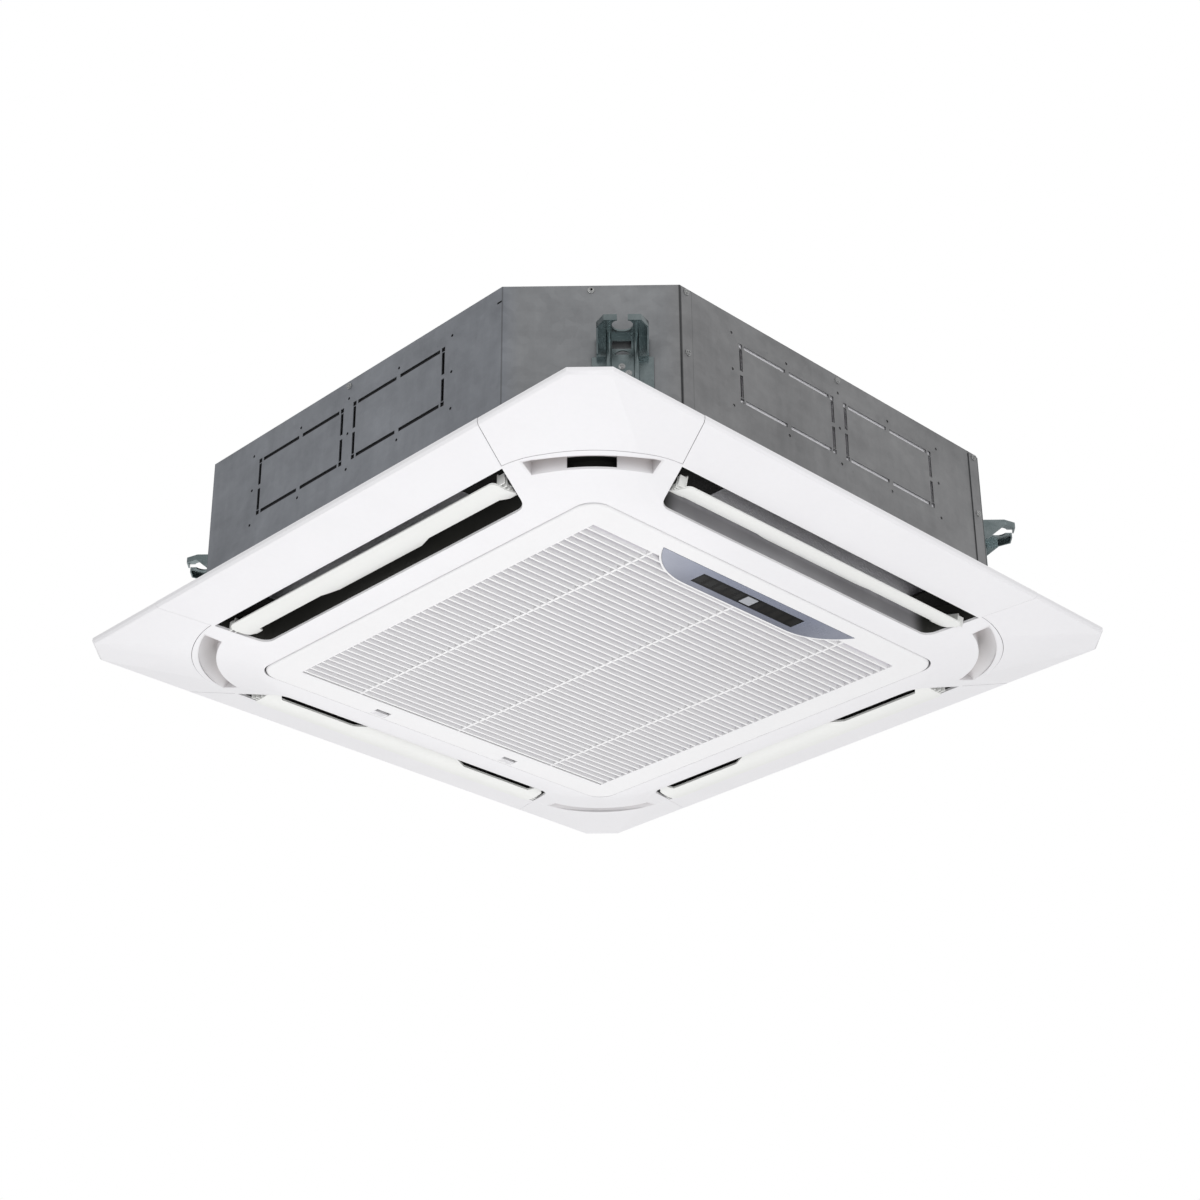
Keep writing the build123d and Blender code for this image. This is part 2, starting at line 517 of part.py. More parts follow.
# walls under the casing's edge, stiffening ribs of the hollow rim
up = bx(-262, 262, -416.5, -414.0, -26.0, 3.0)
ribs = None
for x in (-240, -180, -120, -60, 0, 60, 120, 180, 240):
    r = bx(x - 1, x + 1, -471, -415, -30, -2.0)
    ribs = r if ribs is None else ribs + r
inner = panel_solid(1.0, 1.0)
sidework = (up + ribs)
sidework = (sidework & (panel_solid(1.0, 1.0) + bx(-500, 500, -440, 440, -10, 10)))
frame = frame + four(sidework)
# hooks that carry the grille's hinge pins
for sx in (-1, 1):
    hook = bx(sx * HINGE_X - 4, sx * HINGE_X + 4, HINGE_Y - 1.5, HINGE_Y + 1.5, HINGE_Z, -12.0)
    hook = hook + cylx(sx * HINGE_X - 4, sx * HINGE_X + 4, HINGE_Y, HINGE_Z, 3.0)
    hook = hook + bx(sx * HINGE_X - 4, sx * HINGE_X + 4, -300.0, HINGE_Y + 1.5, -14.0, -12.0)
    hook = hook - cylx(sx * HINGE_X - 5, sx * HINGE_X + 5, HINGE_Y, HINGE_Z, 1.5 + RUN)
    frame = frame + hook
# holes for the panel's fixing screws
for sx in (-1, 1):
    for sy in (-1, 1):
        frame = frame + (cyl(sx * 283, sy * 283, -14, -12, 10))
        frame = frame - cyl(sx * 283, sy * 283, -20, 0, 2.8)
out("panel_frame", frame)

cover_skin = (skin & corner_prism(-0.5))
names = ["corner_cover_front_left", "corner_cover_front_right", "corner_cover_rear_right", "corner_cover_rear_left"]
cover_skin = cover_skin - (panel_solid(SKIN - 0.5, SKIN - 0.5))
for k, n in enumerate(names):
    out(n, turned(cover_skin, k))

ps = []
for sx in (-1, 1):
    for sy in (-1, 1):
        s = cyl(sx * 283, sy * 283, -17, -14, 5.5) + cyl(sx * 283, sy * 283, -16, 20, 2.5)
        s = s - bx(sx * 283 - 3.6, sx * 283 + 3.6, sy * 283 - 0.6, sy * 283 + 0.6, -18, -15.8) - bx(
            sx * 283 - 0.6, sx * 283 + 0.6, sy * 283 - 3.6, sy * 283 + 3.6, -18, -15.8)
        ps.append(s)
out("panel_screws", group(ps))

# foam seal under the casing's edge, and the foam strips at the outlets
seal = prism(octa_in(BODY, BODY_CUT, 0.6), 3.2, 5.9) - prism(octa_in(BODY, BODY_CUT, 6.4), 2, 8)
strips = []
for k in range(4):
    s = bx(-258, 258, -406.9, -342, 3.3, 7.3)
    s = s - (bx(-165, 205, -404.5, -346, 0, 10) if k % 2 == 0 else bx(-205, 165, -404.5, -346, 0, 10))
    strips.append(turned(s, k))
out("panel_seal", seal)
out("outlet_foam", group(strips))

# ---------------------------------------------------------------- outlet ducts
duct = slot_prism(3.0, -36.0, 3.0) - slot_prism(0.6, -60, 10)
room = panel_solid(SKIN + 0.3, 3.0) & bx(-500, 500, -500, 500, -60, 3.0)
duct = duct & room
rise = (corner_prism(6.5) + turned(corner_prism(6.5), 1)) - panel_solid(SKIN + 2.7, SKIN + 2.7)
duct = duct - rise
for s in (-1, 1):
    boss = cylx(min(s * 249.5, s * 258), max(s * 249.5, s * 258), VANE_Y, VANE_Z + 2.0, 8.5)
    boss = boss & bx(-300, 300, -400, -360, VANE_Z - 5.5, 0)
    duct = duct + (boss & room)
    duct = duct - cylx(min(s * 240, s * 262), max(s * 240, s * 262), VANE_Y, VANE_Z, 4.5)
ducts = [turned(duct, k) for k in range(4)]
# short dark elbow behind the window of each corner vent
elbow = sector(126.0, 150.2, 211.0, 239.0, -26.8, -4.0) - sector(127.6, 152.0, 212.2, 237.8, -25.6, -5.4)
caps = [turned(elbow, k) for k in range(4)]
out("outlet_ducts", group(ducts + caps))
bush = []
for s in (-1, 1):
    b = cylx(min(s * 250.5, s * 259), max(s * 250.5, s * 259), VANE_Y, VANE_Z, 4.5) - cylx(
        min(s * 240, s * 270), max(s * 240, s * 270), VANE_Y, VANE_Z, PIN_R + RUN)
    bush.append(b)
out("vane_bushes", group([turned(b, k) for k in range(4) for b in bush]))
# stepping motor on the +X end of each vane, its shaft bore on the vane's axis
sm = cylx(263.0, 278.5, VANE_Y, VANE_Z + 8.0, 13.0)
sm = sm - cylx(260, 276, VANE_Y, VANE_Z, PIN_R + RUN)
sm = sm + bx(263.0, 264.2, VANE_Y - 11.5, VANE_Y + 17, VANE_Z + 5, VANE_Z + 11)
out("vane_motors", group([turned(sm, k) for k in range(4)]))

# ---------------------------------------------------------------- vane, -Y side
def vane():
    # section in (y, z): a shallow curve, outer edge low, inner edge raised
    lower = [(-402.0, -29.4), (-396, -30.6), (-386, -31.3), (-376, -30.6), (-368, -28.9), (-361.0, -26.3)]
    sec_low = Spline(*lower)
    upper = [(-361.6, -24.2), (-369, -26.5), (-377, -28.0), (-386, -28.6), (-395, -28.0), (-401.4, -27.2)]
    sec_up = Spline(*upper)
    f = make_face([sec_low, Line(lower[-1], upper[0]), sec_up, Line(upper[-1], lower[0])])
    v = Pos(-248, 0, 0) * extrude(Plane.YZ * f, 496, dir=(1, 0, 0))
    # plan outline: notched inner edge, rounded outer corners
    plan = [(-246, -401.7), (246, -401.7), (246, -367.5), (242.2, -364.5), (241.5, -357.5), (232, -357.5), (226, -366), (222, -371), (100, -371), (78, -362),
            (70, -355), (-70, -355), (-78, -362), (-100, -371), (-222, -371), (-226, -366), (-232, -357.5), (-241.5, -357.5), (-242.2, -364.5), (-246, -367.5)]
    pf = poly(plan)
    pf = fillet([q for q in pf.vertices() if q.Y < -401], 9.0)
    v = v & (Pos(0, 0, -50) * extrude(pf, 50, dir=(0, 0, 1)))
    for s in (-1, 1):
        # end plate and comb of thin fins
        cheek = poly([(-394, -29.5), (-386, -30.0), (-376, -29.3), (-368, -27.7), (-366, -27.2), (-366, -15.0), (-394, -15.0)])
        v = v + Pos(min(s * 243.0, s * 244.6), 0, 0) * extrude(Plane.YZ * cheek, 1.6, dir=(1, 0, 0))
        for i in range(5):
            y = -393.0 + i * 6.2
            x1 = 257.5 - (y + 400.0) * 0.43
            if abs(y - VANE_Y) < 9:
                x1 = min(x1, 248.8)
            v = v + bx(min(s * 243.9, s * x1), max(s * 243.9, s * x1), y - 0.8, y + 0.8, (-29.5, -30.0, -29.7, -29.0, -27.6)[i], -17.0 + i * 0.1)
        # pivot pin
        v = v + cylx(min(s * 243.7, s * 249.8), max(s * 243.7, s * 249.8), VANE_Y, VANE_Z, 4.0)
        v = v + cylx(min(s * 244.1, s * (272 if s > 0 else 258.6)), max(s * 244.1, s * (272 if s > 0 else 258.6)), VANE_Y, VANE_Z, PIN_R)
    # stiffening rib along the back
    v = v + bx(-243.3, 243.3, -378.0, -376.4, -28.7, -24.0)
    return v


vn = vane()
tilted = Pos(0, VANE_Y, VANE_Z) * Rot(FRONT_TILT, 0, 0) * Pos(0, -VANE_Y, -VANE_Z) * vn
out("vane_front", tilted)
for k, n in ((1, "vane_right"), (2, "vane_rear"), (3, "vane_left")):
    out(n, turned(vn, k))

# ---------------------------------------------------------------- intake grille
def boat(g=0.0, z0=-41.0, z1=-30.0):
    # outline of the display: straight edge at -Y, rounded towards the slats like a boat's bow at both ends
    yb, yt, xc, r = -286.0 - g, -241.0 + g, 90.0, 95.7 + g
    yc = yt - r
    a = math.asin((yb - yc) / r)
    w = xc + r * math.cos(a)
    m = (a + math.pi / 2) / 2
    mx, my = xc + r * math.cos(m), yc + r * math.sin(m)
    e1 = Line((-w, yb), (w, yb))
    e2 = ThreePointArc((w, yb), (mx, my), (xc, yt))
    e3 = Line((xc, yt), (-xc, yt))
    e4 = ThreePointArc((-xc, yt), (-mx, my), (-w, yb))
    return Pos(0, 0, z0) * extrude(make_face([e1, e2, e3, e4]), z1 - z0, dir=(0, 0, 1))


# (its corners are rounder than the frame's so that they clear it as it swings)
grille = Pos(0, 0, GRILLE_Z) * extrude(RectangleRounded(2 * GRILLE, 2 * GRILLE, 29.5), 3.5)
grille = fillet(grille.edges().group_by(Axis.Z)[0], 3.0)
grille = grille - bx(-LOUVRE, LOUVRE, -LOUVRE, LOUVRE, -45, -30)
grille = grille + (ring(GRILLE - 1.6, 28, GRILLE - 3.6, 26, -36.6, -26.0) - bx(-320, 320, -320, -300, -36.55, -20))
grille = grille + (bx(-270, 270, -270, 270, -36.6, -26.0) - bx(-LOUVRE, LOUVRE, -LOUVRE, LOUVRE, -45, -20))
boat_keep = boat(3.0, GRILLE_Z + 0.0, -36.5)
# slats: blades leaning towards -Y at the top
slats = None
n = int((2 * LOUVRE) / PITCH)
y0 = -LOUVRE + (2 * LOUVRE - n * PITCH) / 2
slat_list = []
for i in range(n):
    yb = y0 + PITCH * (i + 1) - 3.0
    f = poly([(yb - 1.3, -39.7), (yb + 1.2, -39.9), (yb + 1.7, -39.2), (yb + 1.6, -38.0), (yb - 5.6, -27.2), (yb - 7.2, -27.2), (yb - 1.7, -38.6)])
    slat_list.append(extrude(Plane.YZ * f, 2 * LOUVRE + 1.0, dir=(1, 0, 0)).moved(Location((-LOUVRE - 0.5, 0, 0))))
slats = Part() + slat_list
ribs = None
for x in RIBS_X:
    r = bx(x - 1.7, x + 1.7, -LOUVRE - 0.5, LOUVRE + 0.5, -38.9, -26.6)
    ribs = r if ribs is None else ribs + r
louvre = (slats + ribs) - boat(2.9, -45, -20)
grille = grille + louvre
grille = grille + (boat_keep & bx(-260, 260, -288.5, -230, -45, -30))
# pocket and window of the display
grille = grille - boat(0.4, -45, GRILLE_Z + 1.7)
grille = grille - bx(-92, 92, -276, -249, -45, -30)
grille = grille + ((bx(-98, 98, -282, -244.5, -36.6, -31.0)) - bx(-96, 96, -280, -246.5, -45, -20))
grille = grille - bx(-96, 96, -280, -246.5, -36.4, -20)
# lugs of the hinge pins
for sx in (-1, 1):
    for dx in (-7.0, 7.0):
        xa = sx * HINGE_X + dx
        lug = bx(xa - 2, xa + 2, HINGE_Y - 3.2, HINGE_Y + 3.2, -36.6, HINGE_Z) + cylx(xa - 2, xa + 2, HINGE_Y, HINGE_Z, 3.2)
        grille = grille + lug
        grille = grille - cylx(xa - 3, xa + 3, HINGE_Y, HINGE_Z, 1.5)
    # room for the hooks in the face's back
    grille = grille - cylx(sx * HINGE_X - 4.6, sx * HINGE_X + 4.6, HINGE_Y, HINGE_Z, 3.4)
    grille = grille - bx(sx * HINGE_X - 4.6, sx * HINGE_X + 4.6, -312, HINGE_Y, -36.9, -20)
# latch pockets
for sx in (-1, 1):
    grille = grille - bx(sx * LATCH_X - 12.2, sx * LATCH_X + 12.2, 288.0, 303.4, -45, -30)
    grille = grille - bx(sx * LATCH_X - 6.3, sx * LATCH_X + 6.3, 302, 312, -35.9, -32.3)
out("intake_grille", grille)
pins = [cylx(sx * HINGE_X - 9, sx * HINGE_X + 9, HINGE_Y, HINGE_Z, 1.5) for sx in (-1, 1)]
out("grille_hinge_pins", group(pins))
for sx, nme in ((-1, "grille_latch_left"), (1, "grille_latch_right")):
    l = bx(sx * LATCH_X - 12, sx * LATCH_X + 12, 295.0, 303.2, -39.8, -37.2)
    l = l + bx(sx * LATCH_X - 6, sx * LATCH_X + 6, 295.0, 308.6, -36.2 + 0.5, -32.6)
    l = l + bx(sx * LATCH_X - 6, sx * LATCH_X + 6, 295.0, 301.0, -38, -34)
    l = l + bx(sx * LATCH_X - 14.6, sx * LATCH_X + 14.6, 295.2, 302.0, -36.2, -35.0) + bx(sx * LATCH_X - 11, sx * LATCH_X + 11, 296, 302.0, -38, -35.5)
    for i in range(3):
        l = l - bx(sx * LATCH_X - 9, sx * LATCH_X + 9, 296.6 + i * 2.0, 297.5 + i * 2.0, -41, -39.2)
    out(nme, l)

filt = ring(262, 10, 254, 6, -25.4, -21.0)
for x in (-85, 85):
    filt = filt + bx(x - 2, x + 2, -256, 256, -25.4, -22.6)
for y in (-85, 85):
    filt = filt + bx(-256, 256, y - 2, y + 2, -25.4, -22.6)
out("filter_frame", filt)
out("filter_mesh", rsq(253.6, 6, -22.5, -21.9))

# ---------------------------------------------------------------- display
bez = boat(0.0, GRILLE_Z - 0.3, GRILLE_Z + 1.6) - bx(-90, 90, -274, -251, -45, -30)
out("display_bezel", bez)
win = bx(-89.8, 89.8, -273.8, -251.2, GRILLE_Z - 0.1, GRILLE_Z + 1.5) - bx(-9.6, 9.6, -271.2, -253.8, -45, -30)
out("display_window", win)
btn = bx(-9.3, 9.3, -270.9, -254.1, GRILLE_Z - 0.6, -35.6) + bx(-11.0, 11.0, -272.4, -252.6, -38.2, -37.0)
out("display_button", btn)
dboard = bx(-95.8, 95.8, -279.8, -246.7, -33.8, -32.4)
for x in (-70, -50, 30, 46, 62, 76):
    dboard = dboard + bx(x - 2, x + 2, -264.5, -260.5, -35.4, -33.8)
out("display_board", dboard)
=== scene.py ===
import bpy
import bmesh
import json
import math
from mathutils import Matrix, Vector

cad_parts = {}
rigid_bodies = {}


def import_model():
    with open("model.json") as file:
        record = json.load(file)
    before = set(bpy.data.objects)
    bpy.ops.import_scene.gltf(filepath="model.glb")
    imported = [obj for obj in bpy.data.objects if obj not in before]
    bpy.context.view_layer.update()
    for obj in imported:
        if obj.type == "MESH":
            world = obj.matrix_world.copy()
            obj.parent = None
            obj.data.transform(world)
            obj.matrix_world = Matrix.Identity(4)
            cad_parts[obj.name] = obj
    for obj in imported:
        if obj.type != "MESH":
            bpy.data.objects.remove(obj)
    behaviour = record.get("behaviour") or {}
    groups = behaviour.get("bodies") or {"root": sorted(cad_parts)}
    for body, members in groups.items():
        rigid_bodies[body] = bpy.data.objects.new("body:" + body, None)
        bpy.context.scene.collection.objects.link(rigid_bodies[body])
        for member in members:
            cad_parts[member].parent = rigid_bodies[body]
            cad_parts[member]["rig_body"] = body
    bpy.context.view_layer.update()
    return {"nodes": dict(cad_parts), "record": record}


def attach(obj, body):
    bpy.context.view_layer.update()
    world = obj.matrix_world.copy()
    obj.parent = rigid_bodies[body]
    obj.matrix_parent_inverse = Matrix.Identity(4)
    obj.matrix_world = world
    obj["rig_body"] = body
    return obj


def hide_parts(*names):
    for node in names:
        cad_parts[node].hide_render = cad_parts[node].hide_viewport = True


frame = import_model()
NODES = frame["nodes"]
SCENE = bpy.context.scene


# ------------------------------------------------------------------ node helpers
class M:
    """A material under construction: Object coordinates in metres, a Principled shader."""

    def __init__(self, name):
        self.m = bpy.data.materials.new(name)
        self.m.use_nodes = True
        self.nt = self.m.node_tree
        self.b = self.nt.nodes["Principled BSDF"]
        self.tc = self.nt.nodes.new("ShaderNodeTexCoord")
        self.obj = self.tc.outputs["Object"]
        self.height = None

    def n(self, kind, **kw):
        x = self.nt.nodes.new(kind)
        for k, v in kw.items():
            setattr(x, k, v)
        return x

    def link(self, a, b):
        self.nt.links.new(a, b)
        return b

    def put(self, sock, v):
        if isinstance(v, bpy.types.NodeSocket):
            self.link(v, sock)
        else:
            sock.default_value = v

    def mapped(self, scale=(1, 1, 1), rot=(0, 0, 0), loc=(0, 0, 0), src=None):
        x = self.n("ShaderNodeMapping")
        x.inputs["Scale"].default_value = scale
        x.inputs["Rotation"].default_value = rot
        x.inputs["Location"].default_value = loc
        self.link(src or self.obj, x.inputs["Vector"])
        return x.outputs["Vector"]

    def noise(self, scale, detail=3.0, rough=0.5, vec=None, dist=0.0):
        x = self.n("ShaderNodeTexNoise")
        self.link(vec or self.obj, x.inputs["Vector"])
        x.inputs["Scale"].default_value = scale
        x.inputs["Detail"].default_value = detail
        x.inputs["Roughness"].default_value = rough
        x.inputs["Distortion"].default_value = dist
        return x.outputs["Fac"]

    def voronoi(self, scale, feature="F1", out="Distance", vec=None, rand=1.0, metric="EUCLIDEAN"):
        x = self.n("ShaderNodeTexVoronoi", feature=feature)
        if feature != "DISTANCE_TO_EDGE":
            x.distance = metric
        self.link(vec or self.obj, x.inputs["Vector"])
        x.inputs["Scale"].default_value = scale
        x.inputs["Randomness"].default_value = rand
        return x.outputs[out]

    def math(self, op, a, b=0.0, c=None, clamp=False):
        x = self.n("ShaderNodeMath", operation=op, use_clamp=clamp)
        self.put(x.inputs[0], a)
        self.put(x.inputs[1], b)
        if c is not None:
            self.put(x.inputs[2], c)
        return x.outputs[0]

    def rng(self, v, a0, a1, b0, b1, smooth=False):
        x = self.n("ShaderNodeMapRange", interpolation_type="SMOOTHSTEP" if smooth else "LINEAR")
        self.put(x.inputs["Value"], v)
        for k, t in (("From Min", a0), ("From Max", a1), ("To Min", b0), ("To Max", b1)):
            x.inputs[k].default_value = t
        return x.outputs["Result"]

    def ramp(self, v, stops, mode="LINEAR"):
        x = self.n("ShaderNodeValToRGB")
        x.color_ramp.interpolation = mode
        el = x.color_ramp.elements
        while len(el) > 1:
            el.remove(el[-1])
        el[0].position = stops[0][0]
        el[0].color = (*stops[0][1], 1)
        for p, c in stops[1:]:
            e = el.new(p)
            e.color = (*c, 1)
        self.put(x.inputs["Fac"], v)
        return x.outputs["Color"]

    def mix(self, f, a, b, blend="MIX"):
        x = self.n("ShaderNodeMix", data_type="RGBA", blend_type=blend)
        self.put(x.inputs["Factor"], f)
        for k, v in (("A", a), ("B", b)):
            s = [i for i in x.inputs if i.name == k and i.type == "RGBA"][0]
            self.put(s, v if isinstance(v, bpy.types.NodeSocket) else (*v, 1))
        return [o for o in x.outputs if o.type == "RGBA"][0]

    def axis(self, i, src=None):
        x = self.n("ShaderNodeSeparateXYZ")
        self.link(src or self.obj, x.inputs[0])
        return x.outputs[i]

    def add_height(self, h, gain):
        t = self.math("MULTIPLY", h, gain)
        self.height = t if self.height is None else self.math("ADD", self.height, t)

    def bump(self, strength=1.0, distance=0.001):
        x = self.n("ShaderNodeBump")
        x.inputs["Strength"].default_value = strength
        x.inputs["Distance"].default_value = distance
        self.link(self.height, x.inputs["Height"])
        self.link(x.outputs["Normal"], self.b.inputs["Normal"])

    def color(self, c):
        self.put(self.b.inputs["Base Color"], c if isinstance(c, bpy.types.NodeSocket) else (*c, 1))

    def rough(self, r):
        self.put(self.b.inputs["Roughness"], r)

    def metal(self, v):
        self.b.inputs["Metallic"].default_value = v


def tint(c, k):
    return tuple(max(0.0, min(1.0, x * k)) for x in c)


def moulded(name, base, rough=0.38, grain=900.0, grain_gain=0.12, wave=0.0, var=0.035, spec=0.5, coat=0.0, occlusion_shade=None, slat_gap_shade=None, vents=None):
    """Injection-moulded plastic: faint colour drift, uneven gloss, fine texture, slight sink waves."""
    q = M(name)
    drift = q.noise(7.0, 3.0, 0.55)
    speck = q.noise(160.0, 2.0, 0.5)
    c = q.mix(q.rng(drift, 0.3, 0.7, 0.0, 1.0), tint(base, 1 - var), tint(base, 1 + var * 0.6))
    c = q.mix(q.rng(speck, 0.35, 0.75, 0.0, 0.22), c, tint(base, 0.95))
    if occlusion_shade:
        # painted shade: colour darkened where ambient occlusion finds gaps and recesses
        ao = q.n("ShaderNodeAmbientOcclusion")
        ao.samples = 6
        ao.inputs["Distance"].default_value = occlusion_shade[0]
        c = q.mix(q.rng(ao.outputs["AO"], 0.0, 0.9, occlusion_shade[2], 0.0), c, occlusion_shade[1])
    if vents:
        # painted shade in the corner vents, darker towards their far inner side
        ax = q.math("SUBTRACT", q.math("ABSOLUTE", q.axis(0)), 0.237)
        ay = q.math("SUBTRACT", q.math("ABSOLUTE", q.axis(1)), 0.237)
        rad = q.math("SQRT", q.math("ADD", q.math("MULTIPLY", ax, ax), q.math("MULTIPLY", ay, ay)))
        f = q.math("MULTIPLY", q.rng(rad, 0.1485, 0.1500, 0.0, 1.0), q.rng(rad, 0.1765, 0.1780, 1.0, 0.0))
        f = q.math("MULTIPLY", f, q.rng(q.math("DIVIDE", q.math("MINIMUM", ax, ay), rad), 0.302, 0.320, 0.0, 1.0))
        f = q.math("MULTIPLY", f, q.rng(q.axis(2), -0.0300, -0.0125, 0.0, 1.0))
        c = q.mix(f, c, vents)
    if slat_gap_shade:
        # painted shade between the slats, less of it in front of the cross ribs
        down = q.rng(q.axis(2), -0.0380, -0.0350, 0.0, 1.0)
        rib = q.math("ADD", q.math("MULTIPLY", q.axis(0), 1 / 0.171), 0.5)
        rib = q.math("ABSOLUTE", q.math("SUBTRACT", q.math("FRACT", rib), 0.5))
        c = q.mix(q.math("MULTIPLY", down, q.rng(rib, 0.022, 0.048, 0.05, 1.0)), c, slat_gap_shade)
    q.color(c)
    r = q.rng(q.noise(26.0, 4.0, 0.6), 0.25, 0.75, rough - 0.05, rough + 0.06)
    q.rough(r)
    q.add_height(q.noise(grain, 2.0, 0.5), grain_gain)
    if wave:
        q.add_height(q.noise(9.0, 1.0, 0.4), wave)
    q.bump(0.35, 0.0004)
    q.b.inputs["Specular IOR Level"].default_value = spec
    if coat:
        q.b.inputs["Coat Weight"].default_value = coat
        q.b.inputs["Coat Roughness"].default_value = 0.12
    return q.m


def galvanised(name, dark, light, metal=0.72, rough=0.40, streak=True, spangle=0.10, brush=0.3, face_tone_and_fold_shade=False):
    """Zinc-coated sheet: cloudy tone, weak spangle, rolling streaks, fingerprints and small scratches."""
    q = M(name)
    cloud = q.noise(5.5, 5.0, 0.62, dist=0.6)
    fine = q.noise(42.0, 4.0, 0.6)
    cell = q.voronoi(95.0, "F1", "Color")
    sep = q.n("ShaderNodeSeparateColor")
    q.link(cell, sep.inputs[0])
    cellv = sep.outputs[0]
    t = q.math("ADD", q.math("MULTIPLY", cloud, 0.95), q.math("MULTIPLY", fine, 0.35))
    t = q.math("ADD", t, q.math("MULTIPLY", cellv, spangle))
    if streak:
        s = q.noise(1.0, 3.0, 0.6, vec=q.mapped(scale=(3.0, 3.0, 160.0)))
        t = q.math("ADD", t, q.math("MULTIPLY", s, 0.10))
        s2 = q.noise(1.0, 3.0, 0.65, vec=q.mapped(scale=(90.0, 90.0, 4.0)))
        t = q.math("ADD", t, q.math("MULTIPLY", s2, 0.16))
    c = q.mix(q.rng(t, 0.62, 1.35, 0.0, 1.0), dark, light)
    # smudges and tiny dark marks
    smudge = q.noise(15.0, 5.0, 0.7, dist=1.4)
    c = q.mix(q.rng(smudge, 0.62, 0.80, 0.0, 0.22), c, tint(dark, 0.78))
    mark = q.voronoi(38.0, "F1", "Distance")
    gate = q.noise(11.0, 2.0, 0.5)
    m1 = q.math("MULTIPLY", q.rng(mark, 0.0, 0.075, 1.0, 0.0), q.rng(gate, 0.52, 0.62, 0.0, 1.0))
    c = q.mix(q.math("MULTIPLY", m1, 0.40), c, tint(dark, 0.55))
    if face_tone_and_fold_shade:
        # painted light: the two sides with wrapped plates tinted a touch cooler, the other two warmer
        ax, ay = q.math("ABSOLUTE", q.axis(0)), q.math("ABSOLUTE", q.axis(1))
        side = q.rng(ax, 0.405, 0.4195, 0.0, 1.0)
        c = q.mix(side, c, q.mix(1.0, c, (0.93, 0.955, 1.01), "MULTIPLY"))
        flat = q.rng(ay, 0.405, 0.4195, 0.0, 1.0)
        c = q.mix(flat, c, q.mix(1.0, c, (0.985, 0.965, 0.95), "MULTIPLY"))
        # painted shade along the folds and beside the overlapping flanges
        fold = q.math("MULTIPLY", q.rng(q.math("ABSOLUTE", q.math("SUBTRACT", ax, 0.2762)), 0.0006, 0.0016, 0.85, 0.0), q.rng(ay, 0.4185, 0.4192, 0.0, 1.0))
        c = q.mix(fold, c, tint(dark, 0.22))
        fold2 = q.math("MULTIPLY", q.rng(q.math("ABSOLUTE", q.math("SUBTRACT", ay, 0.2762)), 0.0003, 0.0012, 0.6, 0.0), q.rng(ax, 0.4185, 0.4192, 0.0, 1.0))
        c = q.mix(fold2, c, tint(dark, 0.4))
        lap = q.math("MULTIPLY", q.rng(q.math("ABSOLUTE", q.math("SUBTRACT", ax, 0.2576)), 0.0003, 0.0014, 0.7, 0.0), q.rng(ay, 0.4185, 0.4192, 0.0, 1.0))
        c = q.mix(lap, c, tint(dark, 0.45))
        # painted shade from occlusion close round screw heads and bracket feet
        ao = q.n("ShaderNodeAmbientOcclusion")
        ao.samples = 6
        ao.inputs["Distance"].default_value = 0.005
        c = q.mix(q.rng(ao.outputs["AO"], 0.35, 0.85, 0.75, 0.0), c, tint(dark, 0.30))
    q.color(c)
    q.metal(metal)
    q.rough(q.rng(q.math("ADD", q.noise(30.0, 4.0, 0.6), q.math("MULTIPLY", cellv, 0.25)), 0.3, 0.95, rough - 0.08, rough + 0.12))
    q.add_height(q.noise(7.0, 2.0, 0.5), 2.6)
    q.add_height(q.noise(1.0, 2.0, 0.5, vec=q.mapped(scale=(30, 30, 2200))), brush * 0.25)
    q.add_height(cellv, 0.05)
    q.bump(0.30, 0.0008)
    return q.m


# ------------------------------------------------------------------ materials
MAT = {}
WHITE = (0.892, 0.884, 0.906)
# panel: painted shade from occlusion and in the corner vents
MAT["panel_white"] = moulded("panel_white", WHITE, 0.33, grain=1400, grain_gain=0.05, wave=0.35, var=0.012, coat=0.12,
                             occlusion_shade=(0.016, (0.26, 0.25, 0.25), 0.65), vents=(0.56, 0.53, 0.53))
# grille: painted shade from occlusion and between the slats
MAT["grille_white"] = moulded("grille_white", (0.905, 0.899, 0.910), 0.36, grain=1400, grain_gain=0.05, wave=0.2, var=0.010, coat=0.05,
                              occlusion_shade=(0.006, (0.55, 0.54, 0.57), 0.40), slat_gap_shade=(0.790, 0.772, 0.812))
MAT["vane_cream"] = moulded("vane_cream", (0.866, 0.870, 0.852), 0.40, grain=1200, grain_gain=0.06, wave=0.4, var=0.02, coat=0.05)
# casing: painted light tones per side, painted shade along folds, flanges and round screw heads
MAT["casing_steel"] = galvanised("casing_steel", (0.226, 0.232, 0.241), (0.398, 0.407, 0.420), face_tone_and_fold_shade=True)
MAT["bracket_steel"] = galvanised("bracket_steel", (0.150, 0.188, 0.194), (0.430, 0.486, 0.494), metal=0.88, rough=0.22)
MAT["cover_steel"] = galvanised("cover_steel", (0.20, 0.205, 0.208), (0.36, 0.365, 0.37))
MAT["screw_steel"] = galvanised("screw_steel", (0.42, 0.425, 0.425), (0.84, 0.84, 0.83), metal=0.9, rough=0.20, streak=False)
MAT["motor_steel"] = galvanised("motor_steel", (0.06, 0.062, 0.065), (0.14, 0.145, 0.15), metal=0.6, rough=0.42, streak=False)
MAT["plastic_black"] = moulded("plastic_black", (0.030, 0.030, 0.032), 0.45, grain=800, grain_gain=0.3, var=0.2)
MAT["plastic_grey"] = moulded("plastic_grey", (0.33, 0.34, 0.35), 0.45, grain=800, grain_gain=0.2, var=0.08)
MAT["plastic_white_inner"] = moulded("plastic_white_inner", (0.74, 0.74, 0.71), 0.42, grain=800, grain_gain=0.15, var=0.05)
MAT["rubber_black"] = moulded("rubber_black", (0.022, 0.022, 0.023), 0.72, grain=500, grain_gain=0.7, var=0.25, spec=0.3)
MAT["button_light"] = moulded("button_light", (0.36, 0.375, 0.41), 0.30, grain=900, grain_gain=0.1, var=0.06, coat=0.3)


